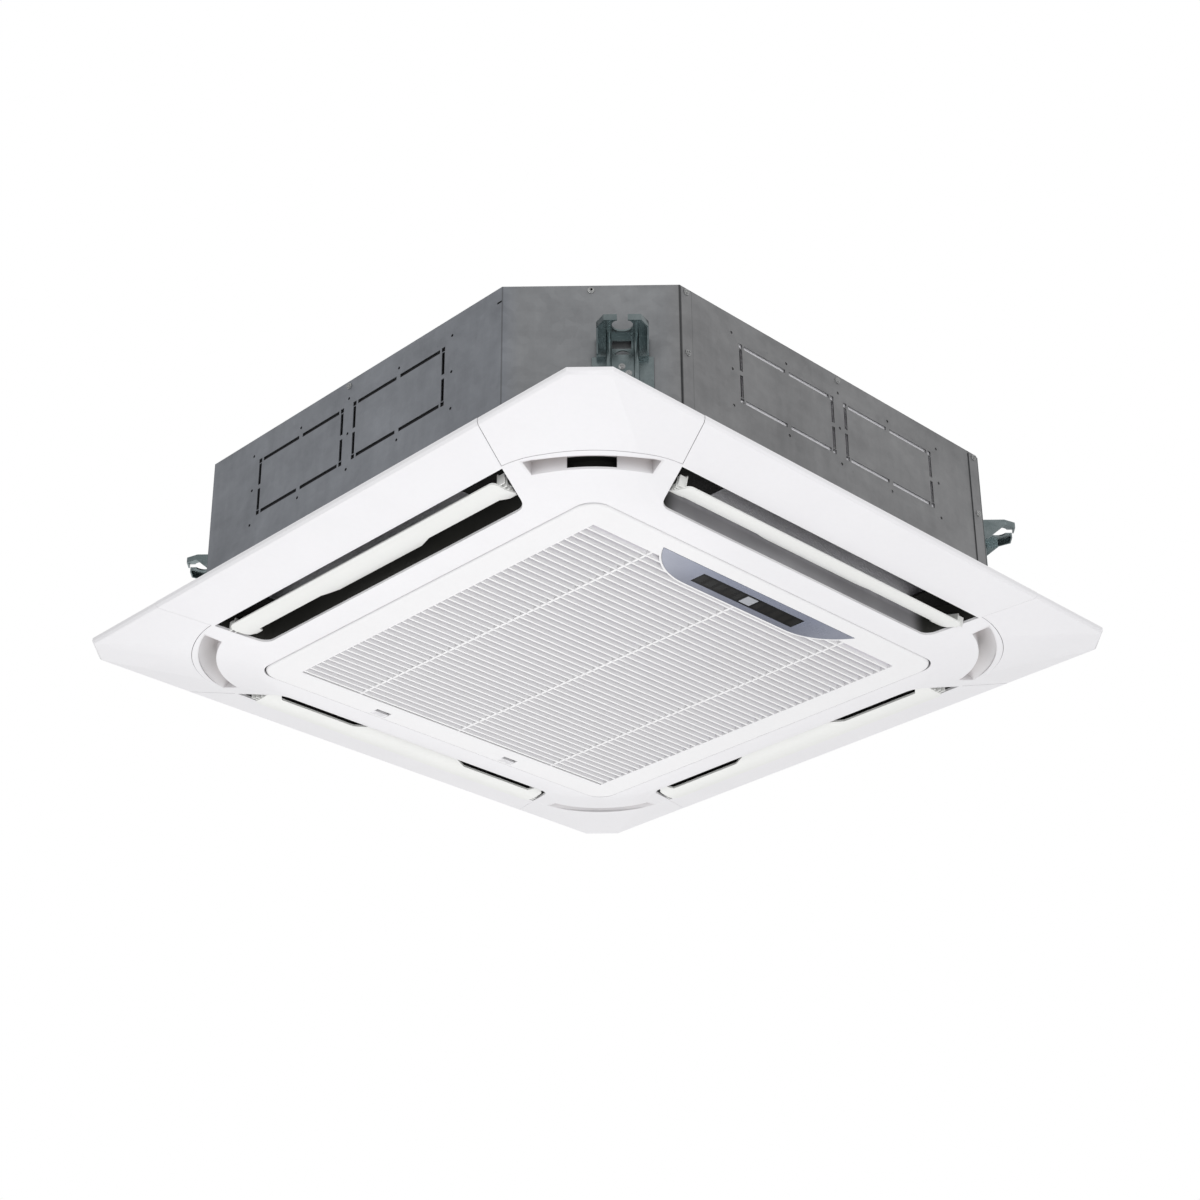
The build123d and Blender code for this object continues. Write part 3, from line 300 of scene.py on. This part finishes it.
def duct_lining():
    """Dark moulded duct; the lining of the -Y outlet is painted as if lit, a lighter lavender grey, lighter still
    towards the top.
    """
    q = M("duct_dark")
    base = q.mix(q.rng(q.noise(7.0, 3.0, 0.55), 0.3, 0.7, 0.0, 1.0), (0.016, 0.016, 0.014), (0.028, 0.028, 0.025))
    pale = q.mix(q.rng(q.noise(9.0, 3.0, 0.55), 0.3, 0.7, 0.0, 1.0), (0.290, 0.285, 0.300), (0.400, 0.394, 0.412))
    high = q.mix(q.rng(q.noise(32.0, 4.0, 0.7, dist=0.8), 0.42, 0.66, 0.0, 1.0), (0.640, 0.625, 0.680), (0.860, 0.850, 0.890))
    pale = q.mix(q.rng(q.axis(2), -0.016, -0.006, 0.0, 1.0), pale, high)
    # painted light: mask of the lit-looking lining in the -Y outlet
    y, x = q.axis(1), q.math("ABSOLUTE", q.axis(0))
    f = q.math("MULTIPLY", q.rng(y, -0.360, -0.344, 1.0, 1.0), q.rng(y, -0.335, -0.330, 1.0, 0.0))
    f = q.math("MULTIPLY", f, q.rng(x, 0.205, 0.236, 1.0, 0.0, True))
    f = q.math("MULTIPLY", f, q.rng(y, -0.372, -0.366, 0.0, 1.0))
    q.color(q.mix(f, base, pale))
    q.rough(q.rng(q.noise(26.0, 4.0, 0.6), 0.25, 0.75, 0.56, 0.70))
    q.add_height(q.noise(700.0, 2.0, 0.5), 0.5)
    q.add_height(q.noise(9.0, 1.0, 0.4), 0.3)
    q.bump(0.35, 0.0004)
    q.b.inputs["Specular IOR Level"].default_value = 0.35
    return q.m


def polystyrene(name="polystyrene", slit_shade=False):
    q = M(name)
    edge = q.voronoi(270.0, "DISTANCE_TO_EDGE", "Distance")
    cell = q.voronoi(270.0, "F1", "Color")
    sep = q.n("ShaderNodeSeparateColor")
    q.link(cell, sep.inputs[0])
    base = q.mix(q.math("MULTIPLY", sep.outputs[0], 0.55), (0.80, 0.79, 0.83), (0.88, 0.88, 0.90))
    base = q.mix(q.rng(edge, 0.0, 0.10, 0.45, 0.0), base, (0.60, 0.60, 0.63))
    base = q.mix(q.rng(q.noise(9.0, 4.0, 0.6), 0.5, 0.8, 0.0, 0.25), base, (0.66, 0.65, 0.68))
    if slit_shade:
        # painted shade: black on the foam behind the -X plate and in the grooves behind the upright cut lines
        minus_x_shade = q.rng(q.axis(0), -0.400, -0.396, 1.0, 0.0)
        groove = q.math("MULTIPLY", q.rng(q.axis(1), -0.4160, -0.4145, 0.0, 1.0), q.rng(q.axis(1), -0.398, -0.395, 1.0, 0.0))
        base = q.mix(q.math("MAXIMUM", minus_x_shade, groove), base, (0.016, 0.016, 0.018))
    q.color(base)
    q.rough(q.rng(q.noise(50.0), 0.3, 0.7, 0.70, 0.88))
    q.add_height(q.rng(edge, 0.0, 0.25, 0.0, 1.0, True), 1.0)
    q.add_height(q.noise(800.0, 2.0), 0.2)
    q.bump(0.5, 0.0005)
    return q.m


def foam(name, c0, c1):
    q = M(name)
    v = q.voronoi(900.0, "F1", "Distance")
    q.color(q.mix(q.rng(q.math("ADD", v, q.math("MULTIPLY", q.noise(60.0), 0.5)), 0.2, 1.0, 0.0, 1.0), c0, c1))
    q.rough(q.rng(q.noise(70.0), 0.3, 0.7, 0.85, 0.97))
    q.add_height(v, 1.0)
    q.add_height(q.noise(90.0, 3.0), 0.8)
    q.bump(0.7, 0.0008)
    q.b.inputs["Sheen Weight"].default_value = 0.03
    q.b.inputs["Specular IOR Level"].default_value = 0.15
    return q.m


def metal_tone(name, c0, c1, spots, rough=0.28, line=None):
    q = M(name)
    t = q.noise(35.0, 4.0, 0.6, dist=0.8)
    c = q.mix(q.rng(t, 0.3, 0.7, 0.0, 1.0), c0, c1)
    c = q.mix(q.rng(q.noise(110.0, 3.0, 0.6), 0.60, 0.72, 0.0, 0.6), c, spots)
    q.color(c)
    q.metal(1.0)
    q.rough(q.rng(q.noise(60.0, 3.0), 0.3, 0.7, rough - 0.06, rough + 0.14))
    q.add_height(q.noise(260.0, 3.0), 0.4)
    if line:
        q.add_height(q.noise(1.0, 2.0, 0.5, vec=q.mapped(scale=line)), 0.5)
    q.bump(0.3, 0.0004)
    return q.m


def fins():
    q = M("fin_aluminium")
    s = q.math("ADD", q.axis(0), q.axis(1))
    f = q.math("FRACT", q.math("MULTIPLY", s, 1 / 0.0016))
    tri = q.math("ABSOLUTE", q.math("SUBTRACT", f, 0.5))
    z = q.axis(2)
    row = q.math("ABSOLUTE", q.math("SUBTRACT", q.math("FRACT", q.math("MULTIPLY", z, 1 / 0.021)), 0.5))
    # painted shade: dark stripes between the fins stand for the shaded gaps
    c = q.mix(q.rng(tri, 0.18, 0.42, 0.0, 1.0), (0.10, 0.115, 0.13), (0.62, 0.66, 0.70))
    c = q.mix(q.rng(row, 0.0, 0.06, 0.35, 0.0), c, (0.30, 0.32, 0.34))
    c = q.mix(q.rng(q.noise(14.0, 3.0), 0.45, 0.8, 0.0, 0.35), c, (0.42, 0.45, 0.50))
    q.color(c)
    q.metal(0.8)
    q.rough(q.rng(q.noise(80.0), 0.3, 0.7, 0.30, 0.48))
    q.add_height(tri, 2.0)
    q.bump(0.8, 0.0006)
    return q.m


def circuit(name, z_split, below=True):
    q = M(name)
    vec = q.mapped(scale=(1, 1, 0.0))
    tr = q.voronoi(190.0, "F1", "Distance", vec=vec, rand=0.45, metric="CHEBYCHEV")
    ln = q.math("FRACT", q.math("MULTIPLY", tr, 5.0))
    g = q.mix(q.rng(ln, 0.42, 0.58, 0.0, 1.0, True), (0.010, 0.11, 0.045), (0.03, 0.22, 0.09))
    dot = q.voronoi(240.0, "F1", "Distance", vec=vec, rand=0.3)
    g = q.mix(q.rng(dot, 0.10, 0.16, 0.85, 0.0), g, (0.62, 0.62, 0.60))
    part = q.voronoi(26.0, "F1", "Color", vec=vec)
    sep = q.n("ShaderNodeSeparateColor")
    q.link(part, sep.inputs[0])
    body = q.ramp(sep.outputs[0], [(0.0, (0.02, 0.02, 0.022)), (0.42, (0.03, 0.05, 0.14)), (0.60, (0.30, 0.24, 0.07)), (0.8, (0.45, 0.45, 0.44))], "CONSTANT")
    z = q.axis(2)
    f = q.rng(z, z_split - 0.0002, z_split, 1.0, 0.0) if below else q.rng(z, z_split, z_split + 0.0002, 0.0, 1.0)
    q.color(q.mix(f, g, body))
    q.rough(q.rng(q.noise(70.0), 0.3, 0.7, 0.28, 0.46))
    q.add_height(ln, 0.25)
    q.bump(0.3, 0.0003)
    return q.m


def bezel():
    q = M("bezel_blue")
    x, y = q.axis(0), q.axis(1)
    # a broad soft sweep from the inner curved edge to the outer straight edge, with a lighter lens at each end
    t = q.rng(y, -0.286, -0.241, 0.0, 1.0)
    e = q.rng(q.math("ABSOLUTE", x), 0.085, 0.150, 0.0, 1.0, True)
    c = q.mix(t, (0.185, 0.205, 0.285), (0.115, 0.125, 0.175))
    c = q.mix(q.math("MULTIPLY", e, 0.65), c, (0.285, 0.300, 0.365))
    fl = q.noise(2400.0, 2.0, 0.6)
    c = q.mix(q.rng(fl, 0.52, 0.72, 0.0, 0.5), c, (0.38, 0.41, 0.48))
    q.color(c)
    q.metal(0.45)
    q.rough(q.rng(q.noise(40.0), 0.3, 0.7, 0.24, 0.34))
    q.b.inputs["Coat Weight"].default_value = 0.35
    q.b.inputs["Coat Roughness"].default_value = 0.08
    q.add_height(fl, 0.15)
    q.bump(0.2, 0.0002)
    return q.m


def window():
    q = M("window_dark")
    x, y = q.axis(0), q.axis(1)
    c = q.mix(q.rng(q.noise(24.0, 3.0), 0.3, 0.7, 0.0, 1.0), (0.002, 0.002, 0.0022), (0.004, 0.004, 0.0045))
    # faint squares where the indicator lamps sit behind the dark window
    u = q.math("FRACT", q.math("DIVIDE", q.math("ADD", x, 0.0905), 0.0165))
    a = q.math("MULTIPLY", q.rng(u, 0.14, 0.17, 0.0, 1.0), q.rng(u, 0.80, 0.83, 1.0, 0.0))
    v = q.math("MULTIPLY", q.rng(y, -0.2705, -0.2700, 0.0, 1.0), q.rng(y, -0.2550, -0.2545, 1.0, 0.0))
    side = q.rng(q.math("ABSOLUTE", x), 0.014, 0.0145, 0.0, 1.0)
    f = q.math("MULTIPLY", q.math("MULTIPLY", a, v), side)
    tone = q.mix(q.rng(q.noise(30.0, 1.0), 0.4, 0.6, 0.0, 1.0), (0.030, 0.026, 0.022), (0.055, 0.058, 0.060))
    c = q.mix(q.math("MULTIPLY", f, 0.22), c, tone)
    q.color(c)
    q.rough(q.rng(q.noise(55.0, 3.0), 0.3, 0.7, 0.16, 0.24))
    q.b.inputs["Specular IOR Level"].default_value = 0.06
    q.add_height(q.noise(300.0, 2.0), 0.05)
    q.bump(0.15, 0.0002)
    return q.m


def net():
    q = M("filter_net")
    x, y = q.axis(0), q.axis(1)
    fx = q.math("ABSOLUTE", q.math("SUBTRACT", q.math("FRACT", q.math("MULTIPLY", x, 1 / 0.0013)), 0.5))
    fy = q.math("ABSOLUTE", q.math("SUBTRACT", q.math("FRACT", q.math("MULTIPLY", y, 1 / 0.0013)), 0.5))
    th = q.math("MAXIMUM", fx, fy)
    c = q.mix(q.rng(th, 0.30, 0.40, 0.0, 1.0), (0.035, 0.036, 0.038), (0.30, 0.31, 0.32))
    c = q.mix(q.rng(q.noise(12.0, 4.0, 0.6), 0.5, 0.8, 0.0, 0.4), c, (0.22, 0.215, 0.20))
    q.color(c)
    q.rough(q.rng(q.noise(60.0), 0.3, 0.7, 0.6, 0.8))
    q.add_height(th, 1.0)
    q.bump(0.6, 0.0004)
    return q.m


MAT["duct_dark"] = duct_lining()
MAT["polystyrene"] = polystyrene()
# liner foam with painted shade behind the -X plate and the cut lines
MAT["liner_foam"] = polystyrene("liner_foam", True)
MAT["foam_black"] = foam("foam_black", (0.006, 0.006, 0.006), (0.020, 0.0195, 0.019))
MAT["copper"] = metal_tone("copper", (0.62, 0.29, 0.17), (0.80, 0.43, 0.28), (0.32, 0.16, 0.10))
MAT["brass"] = metal_tone("brass", (0.56, 0.43, 0.17), (0.76, 0.62, 0.30), (0.36, 0.26, 0.10), line=(30, 2500, 30))
MAT["fin_aluminium"] = fins()
MAT["board_green"] = circuit("board_green", 0.0199)
MAT["board_green2"] = circuit("board_green2", -0.0339)
MAT["bezel_blue"] = bezel()
MAT["window_dark"] = window()
MAT["filter_net"] = net()


# ------------------------------------------------------------------ pieces with softened edges
def clean_mesh(node, weld=4e-6, flat=0.5):
    me = NODES[node].data.copy()
    bm = bmesh.new()
    bm.from_mesh(me)
    bmesh.ops.remove_doubles(bm, verts=bm.verts, dist=weld)
    if flat:
        bmesh.ops.dissolve_limit(bm, angle_limit=math.radians(flat), verts=bm.verts, edges=bm.edges)
    bmesh.ops.recalc_face_normals(bm, faces=bm.faces)
    out = bpy.data.meshes.new(node + "_skin")
    bm.to_mesh(out)
    bm.free()
    bpy.data.meshes.remove(me)
    return out


def baked(obj):
    """The object's mesh with its modifiers applied."""
    bpy.context.view_layer.update()
    dg = bpy.context.evaluated_depsgraph_get()
    me = bpy.data.meshes.new_from_object(obj.evaluated_get(dg), depsgraph=dg)
    obj.modifiers.clear()
    old = obj.data
    obj.data = me
    bpy.data.meshes.remove(old)
    return obj


def softened(node, mat, width=0.0005, seg=2, angle=30, body=None, smooth=32, suffix="_finished", flat=0.5):
    """A copy of a CAD node's surface with rounded edges, standing for the node."""
    me = clean_mesh(node, flat=flat)
    o = bpy.data.objects.new(node + suffix, me)
    SCENE.collection.objects.link(o)
    bv = o.modifiers.new("edges", "BEVEL")
    bv.width = width
    bv.segments = seg
    bv.limit_method = "ANGLE"
    bv.angle_limit = math.radians(angle)
    bv.use_clamp_overlap = True
    bv.miter_outer = "MITER_ARC"
    bv.harden_normals = False
    baked(o)
    o.data.shade_smooth()
    o.data.set_sharp_from_angle(angle=math.radians(smooth))
    wn = o.modifiers.new("weighted", "WEIGHTED_NORMAL")
    wn.keep_sharp = True
    wn.weight = 60
    o.data.materials.clear()
    o.data.materials.append(mat)
    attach(o, body or NODES[node]["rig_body"])
    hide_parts(node)
    return o


def dress(node, mat):
    o = NODES[node]
    if not o.material_slots:
        o.data.materials.append(mat)
    for s in o.material_slots:
        s.material = mat


slot_of = {s["node"]: s["material_slot"] for s in frame["record"]["subparts"]}
SPECIAL = {"intake_grille": "grille_white", "insulation_liner": "liner_foam", "insulation_liner_rear": "liner_foam", "display_board": "board_green2", "pipe_cover_plate": "cover_steel", "electrical_cover": "cover_steel"}
for n in NODES:
    dress(n, MAT[SPECIAL.get(n, slot_of[n])])

SOFT = {
    "panel_frame": (0.0007, 3, 34), "corner_cover_front_left": (0.0007, 3, 34), "corner_cover_front_right": (0.0007, 3, 34),
    "corner_cover_rear_right": (0.0007, 3, 34), "corner_cover_rear_left": (0.0007, 3, 34),
    "vane_front": (0.0005, 2, 40), "vane_right": (0.0005, 2, 40), "vane_rear": (0.0005, 2, 40), "vane_left": (0.0005, 2, 40),
    "display_button": (0.0006, 3, 35), "grille_latch_left": (0.0003, 2, 35), "grille_latch_right": (0.0003, 2, 35),
    "side_casing_left": (0.00035, 2, 35), "side_casing_right": (0.00035, 2, 35), "front_casing": (0.00035, 2, 35), "rear_casing": (0.00035, 2, 35),
    "top_plate": (0.0005, 2, 35), "hanger_brackets": (0.0006, 2, 30), "casing_screws": (0.0003, 2, 35),
    "gas_union": (0.0006, 2, 35), "liquid_union": (0.0005, 2, 35), "drain_outlet": (0.0007, 2, 35), "cable_grommet": (0.0005, 2, 35),
    "pipe_cover_plate": (0.0003, 2, 35), "panel_screws": (0.0003, 2, 35), "electrical_box": (0.0005, 2, 35), "electrical_cover": (0.0004, 2, 35),
    "fan_motor": (0.0015, 3, 35), "fan_nut": (0.0006, 2, 35), "filter_frame": (0.0006, 2, 35), "display_bezel": (0.0003, 2, 35),
}
PUNCHED = {"side_casing_left", "side_casing_right", "front_casing", "rear_casing", "pipe_cover_plate", "hanger_brackets", "panel_frame"}
for n, (w, sgm, ang) in SOFT.items():
    softened(n, MAT[SPECIAL.get(n, slot_of[n])], w, sgm, ang, flat=None if n in PUNCHED else 0.5)

# ------------------------------------------------------------------ floor, light, camera
def plane(name, size, z):
    bm = bmesh.new()
    bmesh.ops.create_grid(bm, x_segments=8, y_segments=8, size=size)
    me = bpy.data.meshes.new(name)
    bm.to_mesh(me)
    bm.free()
    o = bpy.data.objects.new(name, me)
    o.location = (0, 0, z)
    SCENE.collection.objects.link(o)
    return o


floor = plane("floor", 9.0, -2.45)
fm = M("floor_pale")
fm.color(fm.mix(fm.rng(fm.noise(3.0, 3.0), 0.3, 0.7, 0.0, 1.0), (0.84, 0.84, 0.84), (0.88, 0.88, 0.88)))
fm.rough(0.85)
floor.data.materials.append(fm.m)

world = bpy.data.worlds.new("studio")
SCENE.world = world
world.use_nodes = True
wt = world.node_tree
bg = wt.nodes["Background"]
bg.inputs["Color"].default_value = (1.0, 1.0, 1.0, 1)
# white backdrop, softer as a light than as a backdrop
lp = wt.nodes.new("ShaderNodeLightPath")
lv = wt.nodes.new("ShaderNodeMapRange")
lv.inputs["To Min"].default_value = 0.60
lv.inputs["To Max"].default_value = 1.0
wt.links.new(lp.outputs["Is Camera Ray"], lv.inputs["Value"])
wt.links.new(lv.outputs["Result"], bg.inputs["Strength"])


def area(name, loc, target, size, power, color=(1, 1, 1)):
    l = bpy.data.lights.new(name, "AREA")
    l.shape = "RECTANGLE"
    l.size, l.size_y = size
    l.energy = power
    l.color = color
    o = bpy.data.objects.new(name, l)
    o.location = loc
    o.rotation_mode = "QUATERNION"
    o.rotation_quaternion = (Vector(target) - Vector(loc)).to_track_quat("-Z", "Y")
    SCENE.collection.objects.link(o)
    return o


area("fill_left", (-2.6, -1.2, -1.3), (0, 0, 0.0), (2.2, 1.6), 3)
area("key_right", (-0.9, -2.5, -1.56), (0, 0, 0.0), (1.8, 0.45), 11)
area("fill_back", (0.9, 1.7, -1.9), (0, 0, 0.0), (2.0, 2.0), 13)
area("under", (0.0, 0.1, -2.35), (0, 0.1, 0.0), (6.0, 6.0), 41)
# tall narrow softboxes level with the casing: highlights on folds, ribs and screw heads
area("strip_left", (-2.7, -0.9, 0.25), (-0.35, -0.40, 0.1), (0.25, 1.6), 8)
area("strip_right", (-0.3, -3.0, 0.30), (-0.35, -0.40, 0.1), (0.25, 1.6), 8)

cam = bpy.data.cameras.new("camera")
cam.sensor_width = 36.0
cam.lens = 2375.0 / 1200.0 * 36.0
cam.clip_start, cam.clip_end = 0.05, 60.0
co = bpy.data.objects.new("camera", cam)
AZ, EL, ROLL = map(math.radians, (-44.57, -27.44, -0.41))
back = Vector((math.sin(AZ) * math.cos(EL), -math.cos(AZ) * math.cos(EL), math.sin(EL)))
right = Vector((math.cos(AZ), math.sin(AZ), 0.0))
up = back.cross(right)
r2 = right * math.cos(ROLL) + up * math.sin(ROLL)
u2 = -right * math.sin(ROLL) + up * math.cos(ROLL)
rot = Matrix((r2, u2, back)).transposed()
co.rotation_mode = "QUATERNION"
co.rotation_quaternion = rot.to_quaternion()
co.location = (-1.923, -1.958, -1.365)
SCENE.collection.objects.link(co)
SCENE.camera = co

SCENE.view_settings.view_transform = "Standard"
SCENE.view_settings.look = "None"
SCENE.view_settings.exposure = 0.0
